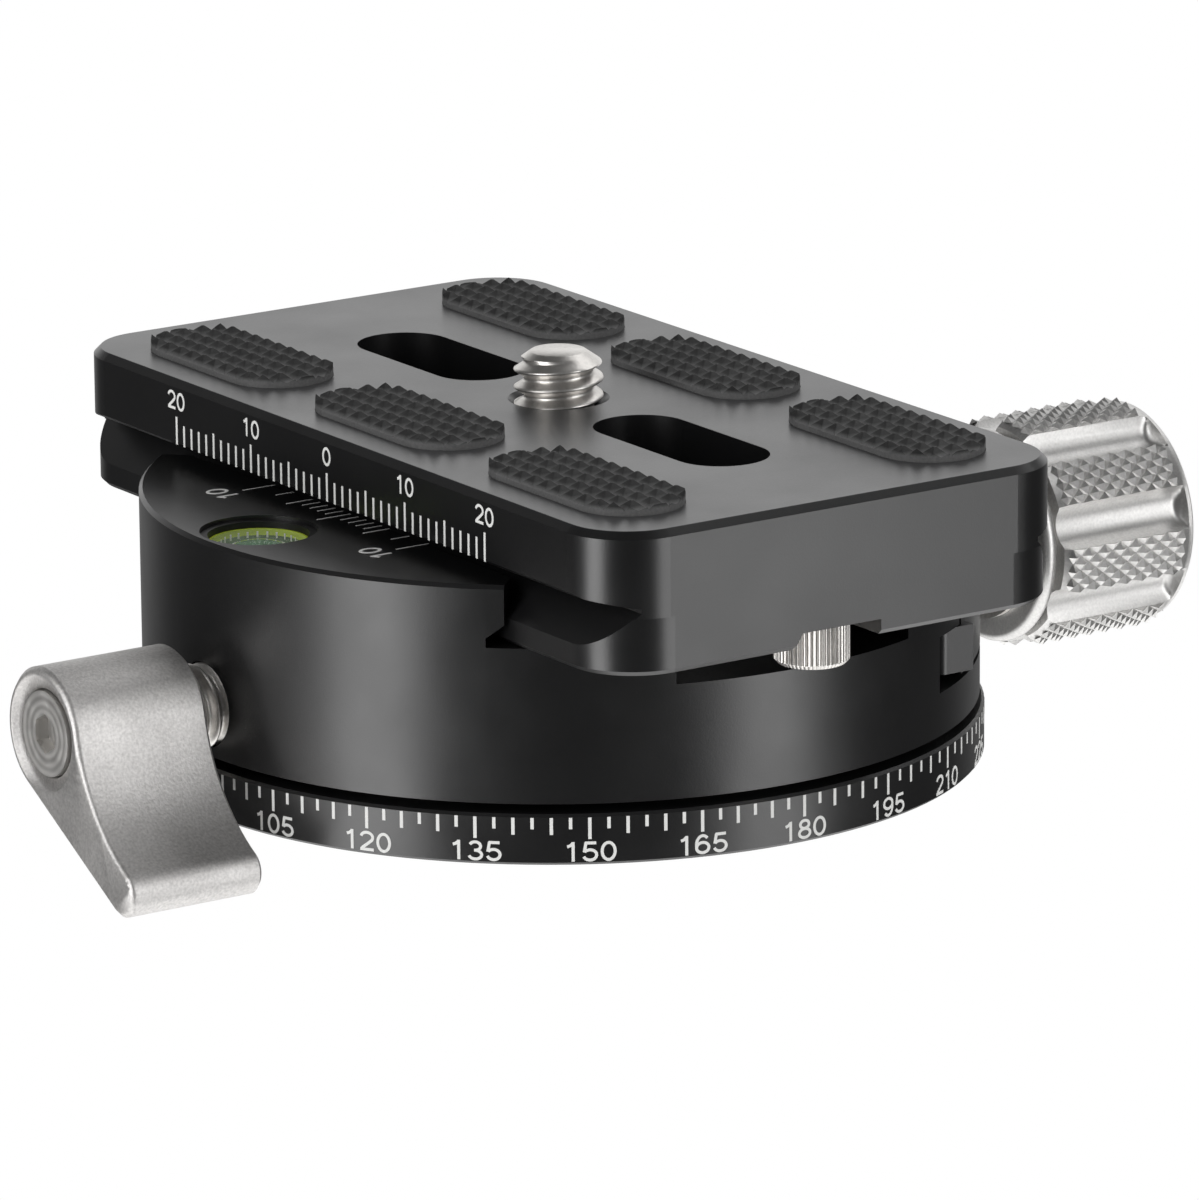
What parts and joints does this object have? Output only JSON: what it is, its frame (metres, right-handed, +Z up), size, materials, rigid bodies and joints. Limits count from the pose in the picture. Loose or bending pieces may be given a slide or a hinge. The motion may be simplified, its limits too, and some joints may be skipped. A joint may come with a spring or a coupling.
{
  "type": "panoramic tripod head",
  "caption": "Turning clamp on a scaled round base, with a knob-closed dovetail jaw, an indexing lock lever, a bubble level and a quick-release camera plate with rubber pads.",
  "frame": {"origin": "centre of the base's underside, on the pan axis, where the tripod's thread enters", "axes": "+Z up along the pan axis, +X towards the clamp knob, +Y along the quick-release plate, -X towards the lock lever"},
  "size_m": [0.093, 0.07, 0.0317],
  "materials": {
    "black_anodised": "fine bead-blasted black anodised",
    "plate_anodised": "satin dark grey anodised",
    "silver_anodised": "satin clear anodised",
    "blasted_silver": "bead-blasted pearl silver",
    "stainless": "bright turned stainless steel",
    "acetal": "smooth black bearing plastic",
    "brass": "plain machined",
    "level_cup": "black moulded",
    "level_vial": "clear acrylic over yellow-green fluid",
    "rubber": "matt, moulded with small pyramids"
  },
  "bodies": {
    "base": {"base_disc": "black_anodised", "spindle": "black_anodised", "base_screws": "stainless", "thrust_ring": "acetal", "glide_ring": "acetal", "retaining_disc": "stainless", "retaining_screws": "stainless"},
    "head": {"head_body": "black_anodised", "channel_cap": "acetal", "level_housing": "level_cup", "level_vial": "level_vial", "guide_pins": "stainless", "jaw_springs": "stainless"},
    "shoe": {"brake_shoe": "brass"},
    "lock": {"lock_stud": "stainless", "lever_screw": "stainless", "lever_spring": "stainless"},
    "lever": {"lever_handle": "blasted_silver"},
    "jaw": {"movable_jaw": "black_anodised", "knob_washer": "stainless"},
    "knob": {"clamp_knob": "silver_anodised", "clamp_screw": "stainless"},
    "plate": {"quick_release_plate": "plate_anodised", "rubber_pads": "rubber", "stop_screws": "stainless"},
    "camera_bolt": {"camera_screw": "stainless"}
  },
  "joints": [
    {"name": "pan", "type": "hinge", "parent": "base", "child": "head", "pos_m": [0, 0, 0], "axis": [0, 0, 1], "continuous": true},
    {"name": "shoe_press", "type": "slide", "parent": "head", "child": "shoe", "axis": [-1, 0, 0], "range_m": [0, 0.0005]},
    {"name": "lock_turn", "type": "hinge", "parent": "shoe", "child": "lock", "pos_m": [-0.03, 0, 0.0078], "axis": [-1, 0, 0], "range_deg": [0, 180]},
    {"name": "lever_pull", "type": "slide", "parent": "lock", "child": "lever", "axis": [-1, 0, 0], "range_m": [0, 0.0024], "stiffness_N_per_m": 300, "springref_m": -0.001, "deforming": ["lever_spring"]},
    {"name": "jaw_slide", "type": "slide", "parent": "head", "child": "jaw", "axis": [1, 0, 0], "range_m": [0, 0.0032], "deforming": ["jaw_springs"]},
    {"name": "knob_turn", "type": "hinge", "parent": "jaw", "child": "knob", "pos_m": [0.0369, 0, 0.0097], "axis": [1, 0, 0], "range_deg": [0, 1440]},
    {"name": "plate_slide", "type": "slide", "parent": "head", "child": "plate", "axis": [0, 1, 0], "range_m": [-0.008, 0.008]},
    {"name": "camera_spin", "type": "hinge", "parent": "plate", "child": "camera_bolt", "pos_m": [0, 0, 0.02], "axis": [0, 0, 1], "continuous": true}
  ],
  "couplings": [
    {"joint": "knob_turn", "follows": "jaw_slide", "rad_per_m": 7853},
    {"joint": "lock_turn", "follows": "shoe_press", "rad_per_m": 6283}
  ]
}
